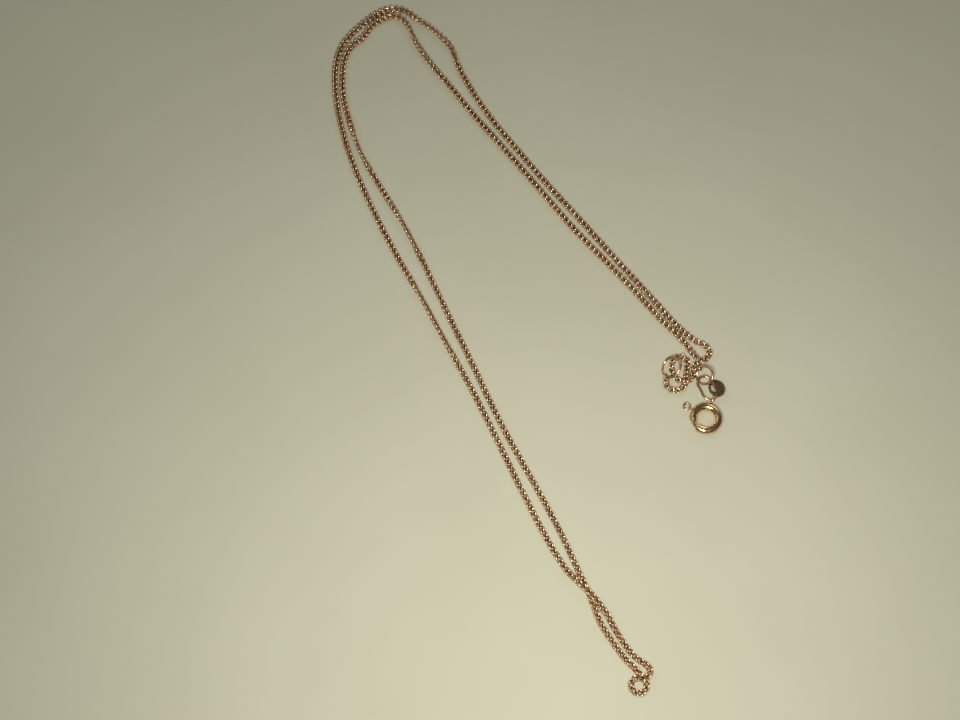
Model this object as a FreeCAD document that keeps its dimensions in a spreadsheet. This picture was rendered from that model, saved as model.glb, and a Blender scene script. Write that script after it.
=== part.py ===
import FreeCAD, Part
import math
import os

# Fine curb-chain necklace with a bolt-ring clasp, laid out on a table. Millimetres, Z up,
# X to the right, Y away from the wearer's side; the table top is Z = 0.

V = FreeCAD.Vector
UP = V(0, 0, 1)

SIZES = {
    "wire_thickness": 0.29,      # curb link wire
    "link_pitch": 0.90,          # centre to centre of two neighbouring links
    "link_width": 1.02,
    "link_play": 0.09,           # gap between two hooked links along the chain
    "link_tilt": 33.0,           # how far each end of a link is twisted out of flat
    "case_radius": 1.90,         # bolt ring, to the middle of the tube
    "case_tube": 0.60,
    "case_bore": 0.44,
    "bolt_tube": 0.38,
    "mouth_start": 188.0,        # angles around the bolt ring
    "mouth_sweep": 40.0,
    "bolt_start": 140.0,
    "bolt_sweep": 94.0,
    "thumb_slot_start": 104.0,
    "thumb_slot_sweep": 49.0,
    "thumb_slot_width": 0.42,
    "bore_start": 58.0,
    "bore_sweep": 132.0,
    "socket_start": 226.0,
    "socket_sweep": 18.0,
    "trigger_angle": 148.0,
    "trigger_wire": 0.15,
    "trigger_eye": 0.475,
    "trigger_reach": 3.41,
    "spring_wire": 0.05,
    "spring_radius": 0.30,
    "attach_angle": 72.0,
    "attach_reach": 3.15,
    "attach_radius": 0.57,
    "attach_wire": 0.18,
    "oval_half": 0.85,           # half the distance between the oval link's two bends
    "oval_bend": 1.09,
    "oval_wire": 0.175,
    "jump_radius": 1.35,
    "jump_wire": 0.16,
    "tag_length": 3.60,
    "tag_width": 2.40,
    "tag_thickness": 0.26,
    "tag_slot_length": 1.75,
    "tag_slot_width": 0.85,
    "tag_slot_shift": 0.50,
    "catch_radius": 1.60,
    "catch_wire": 0.165,
}
ANGLES = ("link_tilt", "mouth_start", "mouth_sweep", "bolt_start", "bolt_sweep", "thumb_slot_start",
          "thumb_slot_sweep", "bore_start", "bore_sweep", "socket_start", "socket_sweep",
          "trigger_angle", "attach_angle")

# The chain's route as it lies: x, y, roll in degrees (0 flat, 90 on edge), lift above the table.
# It runs from the jump ring, up the inner strand and round to the fold at the near end,
# then back along the outer strand to the catch ring.
INNER_STRAND = [
    (27.0, -7.2, -96, 0.66), (26.8, -6.4, -112, 0.74), (26.4, -5.7, -130, 0.74),
    (25.95, -4.75, -150, 0.3), (25.45, -3.8, -180, 0), (24.7, -2.75, -180, 0),
    (23.5, -1.3, -180, 0), (22.1, 0.15, -180, 0), (20.0, 2.65, -180, 0), (18.0, 5.2, -180, 0),
    (15.8, 7.8, -180, 0), (13.6, 10.4, -180, 0), (9.2, 15.5, -180, 0), (5.1, 20.8, -180, 0),
    (1.1, 26.1, -180, 0), (-3.1, 31.6, -180, 0), (-5.3, 34.4, -180, 0), (-7.4, 37.1, -180, 0),
    (-9.4, 39.9, -180, 0), (-11.6, 42.9, -190, 0), (-13.1, 44.9, -200, 0), (-15.2, 47.9, -240, 0),
    (-16.8, 50.8, -260, 0), (-17.7, 53.0, -290, 0), (-18.8, 54.7, -330, 0), (-20.5, 55.5, -360, 0),
    (-22.3, 54.9, -360, 0), (-23.8, 53.7, -360, 0), (-24.7, 52.4, -360, 0), (-25.5, 51.2, -360, 0),
    (-26.7, 50.2, -360, 0), (-27.6, 48.9, -360, 0), (-28.2, 47.2, -360, 0), (-28.4, 45.2, -360, 0),
    (-28.4, 42.7, -360, 0), (-28.2, 40.2, -360, 0), (-27.4, 36.8, -360, 0), (-26.3, 33.0, -430, 0),
    (-24.2, 27.9, -455, 0), (-22.7, 25.2, -540, 0), (-21.3, 22.7, -540, 0), (-18.4, 17.6, -620, 0),
    (-16.2, 13.1, -640, 0), (-14.4, 9.2, -720, 0), (-11.0, 1.5, -720, 0), (-7.3, -6.7, -720, 0),
    (-3.1, -16.1, -720, 0), (1.9, -25.9, -720, 0), (6.3, -34.9, -720, 0), (8.55, -40.2, -720, 0),
    (9.6, -42.7, -720, 0), (10.35, -44.85, -720, 0), (11.2, -47.05, -720, 0),
    (12.55, -49.3, -720, 0), (13.95, -51.4, -720, 0), (15.0, -52.65, -720, 0),
    (15.9, -53.55, -720, 0),
]
FOLD = [
    (16.6, -54.35, -720, 0), (17.15, -55.05, -720, 0), (17.4, -55.8, -720, 0),
    (17.1, -56.55, -720, 0), (16.4, -56.95, -720, 0), (15.65, -56.75, -720, 0),
    (15.2, -56.1, -720, 0), (15.3, -55.4, -720, 0.25), (15.85, -54.9, -720, 0.64),
    (16.6, -55.0, -720, 0.76), (17.35, -54.85, -720, 0.72), (17.85, -54.2, -720, 0.6),
    (17.8, -53.4, -720, 0.35),
]
OUTER_STRAND = [
    (17.2, -52.75, -720, 0.1), (16.35, -52.15, -720, 0), (15.4, -51.25, -720, 0),
    (13.95, -49.15, -720, 0), (13.25, -48.0, -720, 0.15), (12.65, -46.95, -720, 0.5),
    (12.05, -45.85, -720, 0.74), (11.35, -44.8, -720, 0.76), (10.5, -43.6, -720, 0.76),
    (9.6, -42.5, -720, 0.76), (8.4, -41.3, -720, 0.76), (7.3, -40.2, -720, 0.66),
    (6.55, -39.25, -720, 0.25), (5.85, -38.2, -720, 0), (4.4, -35.8, -720, 0),
    (3.0, -33.1, -720, 0), (-0.3, -26.2, -720, 0), (-4.8, -16.3, -720, 0),
    (-8.9, -7.8, -720, 0), (-10.9, -4.0, -800, 0), (-15.2, 4.5, -810, 0), (-17.5, 8.7, -900, 0),
    (-21.2, 15.9, -900, 0), (-24.1, 22.3, -900, 0), (-26.8, 29.3, -900, 0), (-28.7, 36.2, -900, 0),
    (-29.45, 40.8, -900, 0), (-29.65, 44.0, -900, 0), (-29.45, 47.2, -900, 0),
    (-28.65, 49.8, -900, 0), (-27.25, 52.0, -900, 0), (-25.2, 54.2, -900, 0), (-23.2, 55.9, -900, 0),
    (-20.7, 56.9, -900, 0), (-18.5, 56.5, -900, 0), (-16.9, 55.2, -930, 0), (-14.9, 53.7, -960, 0),
    (-12.7, 51.6, -980, 0), (-10.9, 49.3, -1030, 0), (-9.9, 46.5, -1080, 0), (-8.5, 43.3, -1080, 0),
    (-6.7, 39.9, -1080, 0), (-5.0, 37.1, -1080, 0), (-3.1, 34.3, -1080, 0), (-1.1, 31.6, -1080, 0),
    (3.0, 26.1, -1080, 0), (7.2, 20.8, -1080, 0), (11.4, 15.5, -1080, 0), (15.5, 10.3, -1080, 0),
    (17.6, 7.7, -1080, 0), (19.6, 5.2, -1080, 0), (21.6, 2.65, -1080, 0), (23.5, 0.25, -1080, 0),
]
END_CURL = [
    (24.45, -0.75, -1080, 0), (25.5, -1.8, -1080, 0), (26.65, -2.7, -1080, 0),
    (27.6, -3.2, -1080, 0), (28.3, -3.75, -1080, 0), (28.65, -4.55, -1080, 0),
    (28.4, -5.35, -1080, 0), (27.8, -5.8, -1080, 0), (27.1, -6.05, -1080, 0),
    (26.55, -6.5, -1080, 0), (26.3, -7.25, -1080, 0), (26.15, -8.0, -1080, 0),
    (25.75, -8.75, -1080, 0), (25.05, -9.25, -1080, 0), (24.2, -9.25, -1080, 0),
    (23.45, -8.85, -1080, 0), (22.95, -8.1, -1080, 0), (22.85, -7.25, -1080, 0),
    (22.95, -6.4, -1080, 0), (23.4, -5.65, -1080, 0), (24.1, -5.3, -1080, 0),
    (24.8, -5.5, -1080, 0), (25.2, -6.15, -1080, 0), (25.2, -6.95, -1080, 0.06),
    (25.05, -7.75, -1080, 0.35), (24.95, -8.55, -1080, 0.72), (24.9, -9.3, -1080, 0.78),
    (24.7, -10.0, -1080, 0.55), (24.2, -10.6, -1080, 0.2), (23.45, -10.85, -1080, 0),
    (22.65, -10.7, -1076, 0), (22.05, -10.15, -1069, 0), (21.85, -9.35, -1062, 0.02),
    (22.05, -8.55, -1055, 0.06),
]

os.makedirs("parts", exist_ok=True)
doc = FreeCAD.newDocument("chain_necklace")
sheet = doc.addObject("Spreadsheet::Sheet", "Sizes")
for row, (name, value) in enumerate(SIZES.items(), start=1):
    unit = "deg" if name in ANGLES else "mm"
    sheet.set("A%d" % row, name)
    sheet.set("B%d" % row, "=%r %s" % (value, unit))
    sheet.setAlias("B%d" % row, name)
doc.recompute()

nodes = []


def size(name):
    value = sheet.get(name)
    return getattr(value, "Value", value)


def along(angle, reach, z=0.0):
    turn = math.radians(angle)
    return V(reach * math.cos(turn), reach * math.sin(turn), z)


def frame(origin, x_axis, y_axis):
    return FreeCAD.Placement(origin, FreeCAD.Rotation(x_axis, y_axis, V(0, 0, 0), "XYZ"))


def add(kind, name, bindings, place=None):
    item = doc.addObject(kind, name)
    for prop, formula in bindings.items():
        item.setExpression(prop, formula)
    if place is not None:
        item.Placement = place
    return item


def keep(item, label, place=None):
    """Name a finished piece and set it in its place."""
    item.Label = label
    if place is not None:
        item.Placement = place
    nodes.append(item)
    return item


def combine(kind, name, base, tool):
    item = doc.addObject(kind, name)
    item.Base = base
    item.Tool = tool
    return item


def keep_shape(label, shape, place=None):
    item = doc.addObject("Part::Feature", label)
    item.Shape = shape
    return keep(item, label, place)


# ---- one curb link: two half-circle ends twisted opposite ways, joined by four short arcs ----

def turned_wire(start, heading, centre, axis, angle, radius):
    disc = Part.Face(Part.Wire(Part.Circle(start, heading, radius).toShape()))
    return disc.revolve(centre, axis, angle)


def curb_link():
    wire = size("wire_thickness") / 2
    half = (size("link_pitch") + 2 * wire + size("link_play")) / 2
    bend = (size("link_width") - 2 * wire) / 2
    tilt = math.radians(size("link_tilt"))
    x = half - bend
    y = bend * math.cos(tilt)
    z = bend * math.sin(tilt)
    sweep = 2 * math.degrees(math.atan(z / x))
    side = x / math.sin(math.radians(sweep))
    right = turned_wire(V(x, -y, -z), V(1, 0, 0), V(x, 0, 0),
                        V(0, -math.sin(tilt), math.cos(tilt)), 180, wire)
    left = turned_wire(V(-x, y, -z), V(1, 0, 0), V(-x, 0, 0),
                       V(0, math.sin(tilt), math.cos(tilt)), 180, wire)
    pieces = [left]
    for flip in (0, 180):
        upper = turned_wire(V(x, y, z), V(1, 0, 0), V(x, y, z - side), V(0, -1, 0), sweep, wire)
        lower = turned_wire(V(-x, y, -z), V(1, 0, 0), V(-x, y, side - z), V(0, -1, 0), sweep, wire)
        for arc in (upper, lower):
            arc.rotate(V(0, 0, 0), V(1, 0, 0), flip)
            pieces.append(arc)
    return right.fuse(pieces).removeSplitter()


def rest_height(roll):
    """Height of a link's middle when it lies on the table, rolled about its length."""
    wire = size("wire_thickness") / 2
    bend = size("link_width") / 2 - wire
    lean = abs((roll + 90) % 180 - 90)
    return wire + bend * math.sin(math.radians(min(90, size("link_tilt") + lean)))


# ---- lay the chain along its route, each link one pitch from the last ----

def chain_places():
    route = INNER_STRAND + FOLD + OUTER_STRAND + END_CURL
    curve = Part.BSplineCurve()
    curve.interpolate([V(x, y, lift) for x, y, roll, lift in route])
    marks = [curve.parameter(V(x, y, lift)) for x, y, roll, lift in route]
    first, last = curve.FirstParameter, curve.LastParameter
    steps = 150000
    pitch = size("link_pitch")
    centres = []
    segment = 0
    here = None
    for step in range(steps + 1):
        mark = first + (last - first) * step / steps
        point = curve.value(mark)
        if here is not None and (point - here).Length < pitch:
            continue
        here = point
        while segment < len(marks) - 2 and mark > marks[segment + 1]:
            segment += 1
        share = (mark - marks[segment]) / (marks[segment + 1] - marks[segment])
        roll = route[segment][2] + share * (route[segment + 1][2] - route[segment][2])
        centres.append((V(point.x, point.y, max(point.z, 0) + rest_height(roll)), roll))
    places = []
    for number, (centre, roll) in enumerate(centres):
        before = centres[max(0, number - 1)][0]
        after = centres[min(len(centres) - 1, number + 1)][0]
        run = after - before
        run.normalize()
        level = frame(centre, run, UP.cross(run))
        places.append(level * FreeCAD.Placement(V(0, 0, 0), FreeCAD.Rotation(V(1, 0, 0), roll)))
    return places


def lay_links(label, places):
    links = []
    for place in places:
        link = link_shape.copy()
        link.Placement = place
        links.append(link)
    return keep_shape(label, Part.makeCompound(links))


def nearest(spot, start, stop):
    """Number of the link closest to a spot on the table, within one strand."""
    return min(range(start, stop), key=lambda number: (places[number].Base - V(*spot)).Length)


def lay_strand(name, start, stop, spots, past=0):
    """Cut a strand into nodes at the links nearest to the given spots, or just past them."""
    cuts = [start] + sorted(nearest(spot, start, stop) + past for spot in spots) + [stop]
    for part in range(len(cuts) - 1):
        lay_links("%s_%02d" % (name, part + 1), places[cuts[part]:cuts[part + 1]])


link_shape = curb_link()
places = chain_places()
FOLD_START, FOLD_END, CURL_START = 226, 238, 460
# Both strands bend together at these spots: five down the right side, six down the left.
RIGHT_SPOTS = [(-8.7, 40.4), (-0.6, 30.0), (7.0, 19.5), (14.2, 10.8), (20.9, 2.5)]
LEFT_SPOTS = [(-28.8, 38.5), (-24.0, 25.0), (-16.2, 9.6), (-8.2, -7.0), (0.0, -24.2), (5.6, -35.9)]
lay_links("first_link", places[:1])
lay_strand("inner_strand", 1, FOLD_START, RIGHT_SPOTS + LEFT_SPOTS)
lay_strand("fold", FOLD_START, FOLD_END, [(14.6, -57.0)])
lay_strand("outer_strand", FOLD_END, CURL_START, RIGHT_SPOTS + LEFT_SPOTS, past=1)
lay_strand("end_curl", CURL_START, len(places) - 1, [(26.1, -7.0), (24.2, -5.0)])
lay_links("last_link", places[-1:])

# ---- catch ring, hooked by the last link and leaning up to its right ----

CATCH_LEAN = 38.0            # how far the catch ring leans up from the table
CATCH_HOOK = 40.0            # where on the ring the link hangs, from the near edge to the left
HOOK = 0.32                  # from a link's middle to the ring it holds

end_place = places[-1]
hooked = end_place.multVec(V(HOOK, 0, 0))
lean, swing = math.radians(CATCH_LEAN), math.radians(CATCH_HOOK)
outward = (V(-math.cos(lean), 0, -math.sin(lean)) * math.sin(swing) - V(0, 1, 0) * math.cos(swing))
catch_centre = hooked - outward * size("catch_radius")
ring = add("Part::Torus", "CatchRing", {"Radius1": "Sizes.catch_radius", "Radius2": "Sizes.catch_wire"})
keep(ring, "catch_ring", frame(catch_centre, V(math.cos(lean), 0, math.sin(lean)), V(0, 1, 0)))

# ---- jump ring, hooked by the first link; the clasp group is laid out from it ----

JUMP_AIM = -64.0             # direction from the first link to the ring's middle
JUMP_LEAN = 38.0
start_place = places[0]
jump_pull = along(JUMP_AIM, 1)
jump_rise = along(JUMP_AIM + 90, math.cos(math.radians(JUMP_LEAN)), math.sin(math.radians(JUMP_LEAN)))
jump_centre = start_place.multVec(V(-HOOK, 0, 0)) + jump_pull * size("jump_radius")
ring = add("Part::Torus", "JumpRing", {"Radius1": "Sizes.jump_radius", "Radius2": "Sizes.jump_wire"})
keep(ring, "jump_ring", frame(jump_centre, jump_pull, jump_rise))

GROUP_TURN = -3.0
JUMP_FROM_CLASP = V(-0.30, 6.80, 0)
group_turn = FreeCAD.Rotation(UP, GROUP_TURN)
clasp_spot = jump_centre - group_turn.multVec(JUMP_FROM_CLASP)
group = FreeCAD.Placement(V(clasp_spot.x, clasp_spot.y, 0), group_turn)

# ---- oval link ----

OVAL_AIM = 117.0
OVAL_MIDDLE = V(0.133, 4.85, 0.87)
OVAL_RISE = 4.0


def oval_ring():
    """A stadium of round wire: two half rings and two straight wires."""
    ends = []
    for name, side in (("OvalFar", 1), ("OvalNear", -1)):
        end = add("Part::Torus", name, {"Radius1": "Sizes.oval_bend", "Radius2": "Sizes.oval_wire"})
        end.Angle3 = 180
        end.Placement.Rotation = FreeCAD.Rotation(UP, -90 * side)
        end.setExpression("Placement.Base.x", "%d * Sizes.oval_half" % side)
        ends.append(end)
    for name, side in (("OvalLeft", 1), ("OvalRight", -1)):
        bar = add("Part::Cylinder", name, {"Radius": "Sizes.oval_wire", "Height": "2 * Sizes.oval_half"})
        bar.Placement.Rotation = FreeCAD.Rotation(V(0, 1, 0), 90)
        bar.setExpression("Placement.Base.x", "-Sizes.oval_half")
        bar.setExpression("Placement.Base.y", "%d * Sizes.oval_bend" % side)
        ends.append(bar)
    oval = doc.addObject("Part::MultiFuse", "OvalLink")
    oval.Shapes = ends
    return oval


rise = math.radians(OVAL_RISE)
oval_run = along(OVAL_AIM, math.cos(rise), math.sin(rise))
oval_across = along(OVAL_AIM + 90, 1)
oval_place = group * frame(OVAL_MIDDLE, oval_run, oval_across)
keep(oval_ring(), "oval_link", oval_place)

# ---- bolt ring: hollow case, bolt, trigger, spring and attachment eye ----

CLASP_LEAN = 2.0             # the eye's thickness holds that side of the clasp off the table
eye_way = along(size("attach_angle"), 1)
clasp_height = size("case_tube") + size("case_radius") * math.sin(math.radians(CLASP_LEAN)) + 0.003
clasp = group * FreeCAD.Placement(V(0, 0, clasp_height),
                                  FreeCAD.Rotation(eye_way.cross(UP), CLASP_LEAN))


def ring_part(name, tube, start=0.0, sweep=None):
    """A stretch of the clasp's ring, as thick as the given size."""
    part = add("Part::Torus", name, {"Radius1": "Sizes.case_radius", "Radius2": "Sizes.%s" % tube})
    if sweep is not None:
        part.setExpression("Angle3", "Sizes.%s" % sweep)
        part.Placement.Rotation = FreeCAD.Rotation(UP, start)
    return part


def sector(name, radius, height, start, sweep):
    part = add("Part::Cylinder", name, {"Radius": radius, "Height": height, "Angle": "Sizes.%s" % sweep})
    part.Placement.Rotation = FreeCAD.Rotation(UP, size(start))
    part.setExpression("Placement.Base.z", "-(%s) / 2" % height)
    return part


outside = ring_part("CaseOutside", "case_tube")
channel = ring_part("CaseChannel", "case_bore", size("bore_start"), "bore_sweep")
socket = ring_part("CaseSocket", "case_bore", size("socket_start"), "socket_sweep")
mouth = sector("CaseMouth", "Sizes.case_radius + 2 * Sizes.case_tube", "4 * Sizes.case_tube",
               "mouth_start", "mouth_sweep")
slot_reach = sector("SlotReach", "Sizes.case_radius + 2 * Sizes.case_tube", "Sizes.thumb_slot_width",
                    "thumb_slot_start", "thumb_slot_sweep")
slot_core = add("Part::Cylinder", "SlotCore", {"Radius": "Sizes.case_radius",
                                               "Height": "4 * Sizes.case_tube"})
slot_core.setExpression("Placement.Base.z", "-2 * Sizes.case_tube")
slot = combine("Part::Cut", "ThumbSlot", slot_reach, slot_core)
hollows = doc.addObject("Part::MultiFuse", "CaseHollows")
hollows.Shapes = [channel, socket, mouth, slot]
keep(combine("Part::Cut", "CaseShell", outside, hollows), "bolt_ring_case", clasp)

keep(ring_part("Bolt", "bolt_tube", size("bolt_start"), "bolt_sweep"), "bolt")
nodes[-1].Placement = clasp * FreeCAD.Placement(V(0, 0, 0), FreeCAD.Rotation(UP, size("bolt_start")))

TRIGGER_FOOT = 0.20          # the stem starts this far out from the middle of the bolt
stem = add("Part::Cylinder", "TriggerStem", {"Radius": "Sizes.trigger_wire"})
stem.setExpression("Height", "Sizes.trigger_reach - Sizes.trigger_eye - Sizes.case_radius - %r mm"
                   % TRIGGER_FOOT)
stem.Placement = FreeCAD.Placement(V(size("case_radius") + TRIGGER_FOOT, 0, 0),
                                   FreeCAD.Rotation(V(0, 1, 0), 90))
eye = add("Part::Torus", "TriggerEye", {"Radius1": "Sizes.trigger_eye", "Radius2": "Sizes.trigger_wire"})
eye.setExpression("Placement.Base.x", "Sizes.trigger_reach")
knob = combine("Part::Fuse", "TriggerKnob", stem, eye)
bolt_form = ring_part("BoltForm", "bolt_tube")
keep(combine("Part::Cut", "Trigger", knob, bolt_form), "trigger",
     clasp * FreeCAD.Placement(V(0, 0, 0), FreeCAD.Rotation(UP, size("trigger_angle"))))

fixed_eye = add("Part::Torus", "AttachRing", {"Radius1": "Sizes.attach_radius",
                                              "Radius2": "Sizes.attach_wire"})
fixed_eye.Placement.Rotation = FreeCAD.Rotation(V(1, 0, 0), 90)
fixed_eye.setExpression("Placement.Base.x", "Sizes.attach_reach")
case_form = ring_part("CaseForm", "case_tube")
keep(combine("Part::Cut", "AttachEye", fixed_eye, case_form), "attachment_eye",
     clasp * FreeCAD.Placement(V(0, 0, 0), FreeCAD.Rotation(UP, size("attach_angle"))))

SPRING_FROM, SPRING_TO = 60.0, 138.5
SPRING_TURNS = 11


def coil_spring():
    """A coil that follows the curved channel behind the bolt."""
    points = []
    count = SPRING_TURNS * 12
    for number in range(count + 1):
        around = math.radians(SPRING_FROM + (SPRING_TO - SPRING_FROM) * number / count)
        wind = 2 * math.pi * number / 12
        reach = size("case_radius") + size("spring_radius") * math.cos(wind)
        points.append(V(reach * math.cos(around), reach * math.sin(around),
                        size("spring_radius") * math.sin(wind)))
    path = Part.BSplineCurve()
    path.interpolate(points)
    heading = path.tangent(path.FirstParameter)[0]
    disc = Part.Wire(Part.Circle(points[0], heading, size("spring_wire")).toShape())
    return Part.Wire(path.toShape()).makePipeShell([disc], True, True)


keep_shape("coil_spring", coil_spring(), clasp)

# ---- blank quality tag, threaded on the oval link's right-hand wire ----

TAG_AIM = -79.0
TAG_LEAN = 25.0
TAG_MIDDLE = V(1.53, 4.87, 0.92)


def body_plane(body, role):
    for feature in body.Origin.OriginFeatures:
        if feature.Role == role:
            return feature


def tag_body():
    """An oval plate with a slot near one long edge."""
    body = doc.addObject("PartDesign::Body", "TagBody")
    sketch = body.newObject("Sketcher::SketchObject", "TagOutline")
    sketch.AttachmentSupport = (body_plane(body, "XY_Plane"), [""])
    sketch.MapMode = "FlatFace"
    oval = Part.Ellipse(V(0, 0, 0), size("tag_length") / 2, size("tag_width") / 2)
    sketch.addGeometry(oval, False)
    pad = body.newObject("PartDesign::Pad", "TagPlate")
    pad.Profile = sketch
    pad.setExpression("Length", "Sizes.tag_thickness")
    pad.Midplane = True
    hole = body.newObject("Sketcher::SketchObject", "TagSlot")
    hole.AttachmentSupport = (body_plane(body, "XY_Plane"), [""])
    hole.MapMode = "FlatFace"
    half = (size("tag_slot_length") - size("tag_slot_width")) / 2
    bend = size("tag_slot_width") / 2
    mid = -size("tag_slot_shift")
    hole.addGeometry(Part.LineSegment(V(-half, mid + bend, 0), V(half, mid + bend, 0)), False)
    hole.addGeometry(Part.ArcOfCircle(Part.Circle(V(half, mid, 0), UP, bend),
                                      -math.pi / 2, math.pi / 2), False)
    hole.addGeometry(Part.LineSegment(V(half, mid - bend, 0), V(-half, mid - bend, 0)), False)
    hole.addGeometry(Part.ArcOfCircle(Part.Circle(V(-half, mid, 0), UP, bend),
                                      math.pi / 2, 3 * math.pi / 2), False)
    pocket = body.newObject("PartDesign::Pocket", "TagOpening")
    pocket.Profile = hole
    pocket.Type = 1
    pocket.Midplane = True
    return body


lean = math.radians(TAG_LEAN)
tag_run = along(TAG_AIM, math.cos(lean), math.sin(lean))
keep(tag_body(), "quality_tag", group * frame(TAG_MIDDLE, tag_run, along(TAG_AIM + 90, 1)))

# ---- recompute, test and write every piece ----

doc.recompute()
for item in doc.Objects:
    if "Invalid" in item.State or "Error" in item.State:
        raise RuntimeError("%s is %s" % (item.Label, item.State))
for item in nodes:
    if item.Shape.isNull() or not item.Shape.isValid():
        raise RuntimeError("%s has a bad shape" % item.Label)
    item.Shape.exportStep("parts/%s.step" % item.Label)
print("pieces:", len(nodes), "links:", len(places))
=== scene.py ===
"""Fine curb-chain necklace with a bolt-ring clasp, laid out on a table."""
import bpy
import math
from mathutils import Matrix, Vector


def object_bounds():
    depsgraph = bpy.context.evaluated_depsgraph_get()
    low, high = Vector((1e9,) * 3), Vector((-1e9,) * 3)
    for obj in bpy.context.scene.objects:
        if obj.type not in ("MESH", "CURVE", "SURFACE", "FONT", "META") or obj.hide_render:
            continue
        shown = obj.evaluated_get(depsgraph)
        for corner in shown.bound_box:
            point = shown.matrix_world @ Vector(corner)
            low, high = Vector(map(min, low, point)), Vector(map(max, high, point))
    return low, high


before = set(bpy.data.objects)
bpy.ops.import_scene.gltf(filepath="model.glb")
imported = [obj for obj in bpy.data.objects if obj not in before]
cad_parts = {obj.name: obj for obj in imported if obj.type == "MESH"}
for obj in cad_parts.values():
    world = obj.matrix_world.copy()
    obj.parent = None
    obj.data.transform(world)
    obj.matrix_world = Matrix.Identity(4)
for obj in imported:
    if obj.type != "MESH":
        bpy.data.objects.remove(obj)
CAD_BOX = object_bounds()
MM = 0.001

# ---- camera: looking down at the table from the near side ----

CAMERA_TARGET = Vector((-6.2, -5.7, 0.0)) * MM
CAMERA_DISTANCE = 288.7 * MM
CAMERA_ELEVATION = math.radians(67.0)
CAMERA_LENS = 71.25


def add_camera():
    data = bpy.data.cameras.new("Camera")
    data.lens = CAMERA_LENS
    data.sensor_width = 36.0
    data.clip_start = 0.005
    data.clip_end = 5.0
    camera = bpy.data.objects.new("Camera", data)
    away = Vector((0, -math.cos(CAMERA_ELEVATION), math.sin(CAMERA_ELEVATION)))
    camera.location = CAMERA_TARGET + away * CAMERA_DISTANCE
    camera.rotation_euler = (-away).to_track_quat("-Z", "Y").to_euler()
    bpy.context.collection.objects.link(camera)
    bpy.context.scene.camera = camera


# ---- small helpers for node materials ----

def new_material(name):
    material = bpy.data.materials.new(name)
    material.use_nodes = True
    tree = material.node_tree
    return material, tree, tree.nodes["Principled BSDF"]


def object_space(tree, stretch=(1, 1, 1), turn=0.0):
    """The part's own coordinates, in millimetres, stretched and turned about Z."""
    place = tree.nodes.new("ShaderNodeTexCoord")
    scale = tree.nodes.new("ShaderNodeMapping")
    scale.inputs["Scale"].default_value = [s / MM for s in stretch]
    scale.inputs["Rotation"].default_value = (0, 0, turn)
    tree.links.new(place.outputs["Object"], scale.inputs["Vector"])
    return scale.outputs["Vector"]


def noise(tree, space, size, detail=2.0, rough=0.5):
    """Cloudy noise whose features are about size millimetres across."""
    made = tree.nodes.new("ShaderNodeTexNoise")
    made.inputs["Scale"].default_value = 1 / size
    made.inputs["Detail"].default_value = detail
    made.inputs["Roughness"].default_value = rough
    tree.links.new(space, made.inputs["Vector"])
    return made.outputs["Fac"]


def spread(tree, value, low, high, to_low=0.0, to_high=1.0):
    made = tree.nodes.new("ShaderNodeMapRange")
    for name, number in (("From Min", low), ("From Max", high), ("To Min", to_low), ("To Max", to_high)):
        made.inputs[name].default_value = number
    tree.links.new(value, made.inputs["Value"])
    return made.outputs["Result"]


def mix(tree, factor, first, second):
    """Blend two colours, each a colour or a socket."""
    made = tree.nodes.new("ShaderNodeMix")
    made.data_type = "RGBA"
    tree.links.new(factor, made.inputs["Factor"])
    for name, value in (("A", first), ("B", second)):
        socket = [s for s in made.inputs if s.name == name and s.type == "RGBA"][0]
        if isinstance(value, tuple):
            socket.default_value = (*value, 1)
        else:
            tree.links.new(value, socket)
    return [s for s in made.outputs if s.type == "RGBA"][0]


# ---- gold ----

SCRATCH_DEPTH = 0.008 * MM
SCRATCH_STRENGTH = 0.12


def gold(name, light, rosy, tarnish_and_shade, polish, crevice, pitted=0.0):
    """Worn polished gold: two tones of alloy, a cloudy tarnish film, painted shade that darkens the colour
    towards the tarnish tone in crevices up to so many mm, fine scratches.
    """
    material, tree, shader = new_material(name)
    space = object_space(tree)
    tone = spread(tree, noise(tree, space, 2.2, 3), 0.35, 0.65)
    alloy = mix(tree, tone, light, rosy)
    film = spread(tree, noise(tree, space, 0.5, 4, 0.65), 0.50, 0.72, 0.0, 0.55)
    worn = mix(tree, film, alloy, tarnish_and_shade)
    # Painted shade: ambient occlusion darkens the base colour towards the tarnish tone in crevices and
    # where parts touch.
    hidden = tree.nodes.new("ShaderNodeAmbientOcclusion")
    hidden.samples = 6
    hidden.inputs["Distance"].default_value = crevice * MM
    crevice_shade = spread(tree, hidden.outputs["AO"], 0.15, 0.75, 0.85, 0.0)
    tree.links.new(mix(tree, crevice_shade, worn, tarnish_and_shade), shader.inputs["Base Color"])
    shader.inputs["Metallic"].default_value = 1.0
    rub = noise(tree, space, 0.35, 5, 0.7)
    tree.links.new(spread(tree, rub, 0.3, 0.7, polish * 0.7, polish * 1.6), shader.inputs["Roughness"])
    along = noise(tree, object_space(tree, (1, 0.08, 1), 0.6), 0.05, 2)
    across = noise(tree, object_space(tree, (0.08, 1, 1), -0.3), 0.06, 2)
    hairlines = tree.nodes.new("ShaderNodeMath")
    hairlines.operation = "ADD"
    tree.links.new(along, hairlines.inputs[0])
    tree.links.new(across, hairlines.inputs[1])
    bump = tree.nodes.new("ShaderNodeBump")
    bump.inputs["Strength"].default_value = SCRATCH_STRENGTH + pitted
    bump.inputs["Distance"].default_value = SCRATCH_DEPTH
    tree.links.new(hairlines.outputs[0], bump.inputs["Height"])
    tree.links.new(bump.outputs["Normal"], shader.inputs["Normal"])
    return material


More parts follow.
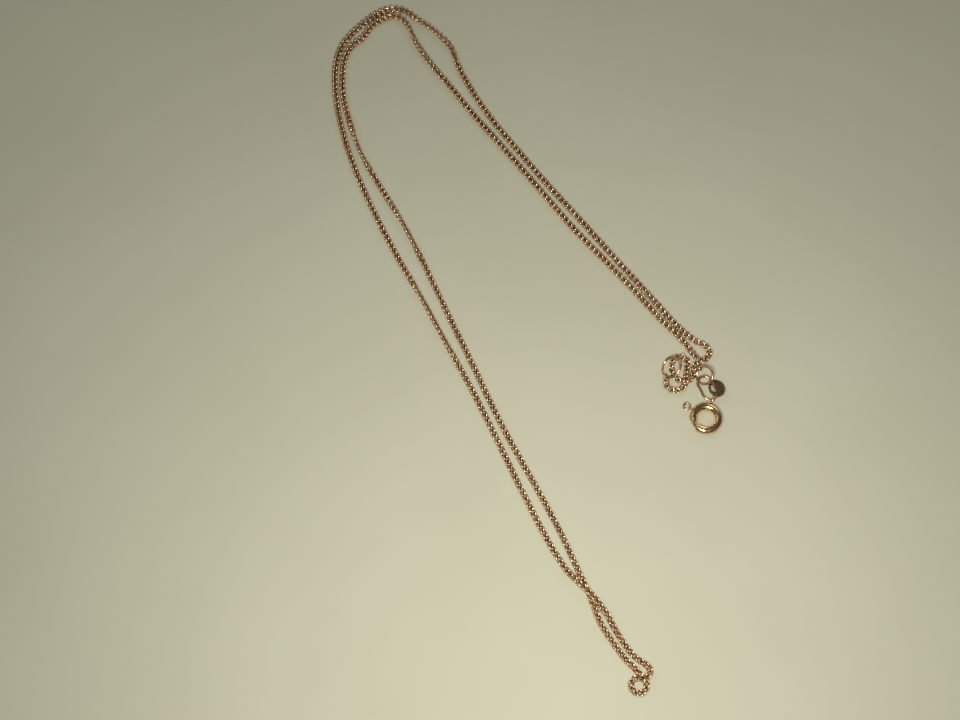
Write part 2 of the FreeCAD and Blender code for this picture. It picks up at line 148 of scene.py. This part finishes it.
CHAIN_GOLD = gold("chain_gold", (0.89, 0.64, 0.36), (0.82, 0.49, 0.28), (0.15, 0.08, 0.035), 0.24, 0.5)
CLASP_GOLD = gold("clasp_gold", (0.93, 0.69, 0.35), (0.87, 0.53, 0.29), (0.24, 0.12, 0.05), 0.17, 0.6)
BOLT_GOLD = gold("bolt_gold", (0.91, 0.68, 0.38), (0.85, 0.56, 0.31), (0.25, 0.13, 0.06), 0.20, 0.5)
RING_GOLD = gold("ring_gold", (0.92, 0.64, 0.35), (0.86, 0.48, 0.28), (0.20, 0.10, 0.05), 0.20, 0.5)
TAG_GOLD = gold("tag_gold", (0.54, 0.37, 0.21), (0.44, 0.25, 0.14), (0.12, 0.07, 0.04), 0.26, 0.6, 0.1)


def spring_steel():
    material, tree, shader = new_material("spring_steel")
    space = object_space(tree)
    tone = spread(tree, noise(tree, space, 0.3, 4), 0.35, 0.65)
    tree.links.new(mix(tree, tone, (0.62, 0.60, 0.56), (0.38, 0.36, 0.33)), shader.inputs["Base Color"])
    shader.inputs["Metallic"].default_value = 1.0
    tree.links.new(spread(tree, noise(tree, space, 0.1, 3), 0.3, 0.7, 0.2, 0.4), shader.inputs["Roughness"])
    return material


STEEL = spring_steel()
PIECE_MATERIALS = {
    "bolt_ring_case": CLASP_GOLD,
    "attachment_eye": CLASP_GOLD,
    "bolt": BOLT_GOLD,
    "trigger": BOLT_GOLD,
    "oval_link": RING_GOLD,
    "jump_ring": RING_GOLD,
    "catch_ring": RING_GOLD,
    "quality_tag": TAG_GOLD,
    "coil_spring": STEEL,
}


def dress_nodes():
    for name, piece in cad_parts.items():
        material = PIECE_MATERIALS.get(name, CHAIN_GOLD)
        if not piece.material_slots:
            piece.data.materials.append(material)
        for place in piece.material_slots:
            place.link = "OBJECT"
            place.material = material


# ---- floor and light ----

FLOOR_SIZE = 2.4     # metres
FLOOR_DARK = (0.61, 0.60, 0.44)
FLOOR_PALE = (0.64, 0.63, 0.475)

# name, azimuth, elevation, distance and size in metres, power in watts, colour
LIGHTS = [
    ("Key", 176, 58, 0.145, 0.035, 0.15, (1.0, 0.98, 0.93)),
    ("Fill", 300, 45, 0.60, 0.40, 0.30, (0.95, 0.97, 1.0)),
    ("Back", 30, 40, 0.60, 0.25, 0.30, (1.0, 0.96, 0.90)),
]


def add_floor():
    bottom = CAD_BOX[0][2]
    half = FLOOR_SIZE / 2
    mesh = bpy.data.meshes.new("floor")
    corners = [(-half, -half, bottom), (half, -half, bottom), (half, half, bottom), (-half, half, bottom)]
    mesh.from_pydata(corners, [], [(0, 1, 2, 3)])
    floor = bpy.data.objects.new("floor", mesh)
    bpy.context.collection.objects.link(floor)
    material, tree, shader = new_material("floor")
    space = object_space(tree)
    cloud = spread(tree, noise(tree, space, 30.0, 3), 0.3, 0.7)
    tree.links.new(mix(tree, cloud, FLOOR_DARK, FLOOR_PALE), shader.inputs["Base Color"])
    shader.inputs["Roughness"].default_value = 0.75
    mesh.materials.append(material)


def add_light(name, azimuth, elevation, distance, size, power, colour):
    """A square soft light aimed at the necklace. Azimuth 0 is the far side, 90 the right."""
    data = bpy.data.lights.new(name, "AREA")
    data.size = size
    data.energy = power
    data.color = colour
    light = bpy.data.objects.new(name, data)
    turn, rise = math.radians(azimuth), math.radians(elevation)
    out = Vector((math.sin(turn) * math.cos(rise), math.cos(turn) * math.cos(rise), math.sin(rise)))
    light.location = out * distance
    light.rotation_euler = (-out).to_track_quat("-Z", "Y").to_euler()
    light.visible_camera = False
    bpy.context.collection.objects.link(light)


def add_world():
    world = bpy.data.worlds.new("Studio")
    world.use_nodes = True
    back = world.node_tree.nodes["Background"]
    back.inputs["Color"].default_value = (0.80, 0.82, 0.80, 1)
    back.inputs["Strength"].default_value = 0.10
    bpy.context.scene.world = world


add_camera()
dress_nodes()
add_floor()
add_world()
for light in LIGHTS:
    add_light(*light)
bpy.context.scene.view_settings.view_transform = "Standard"
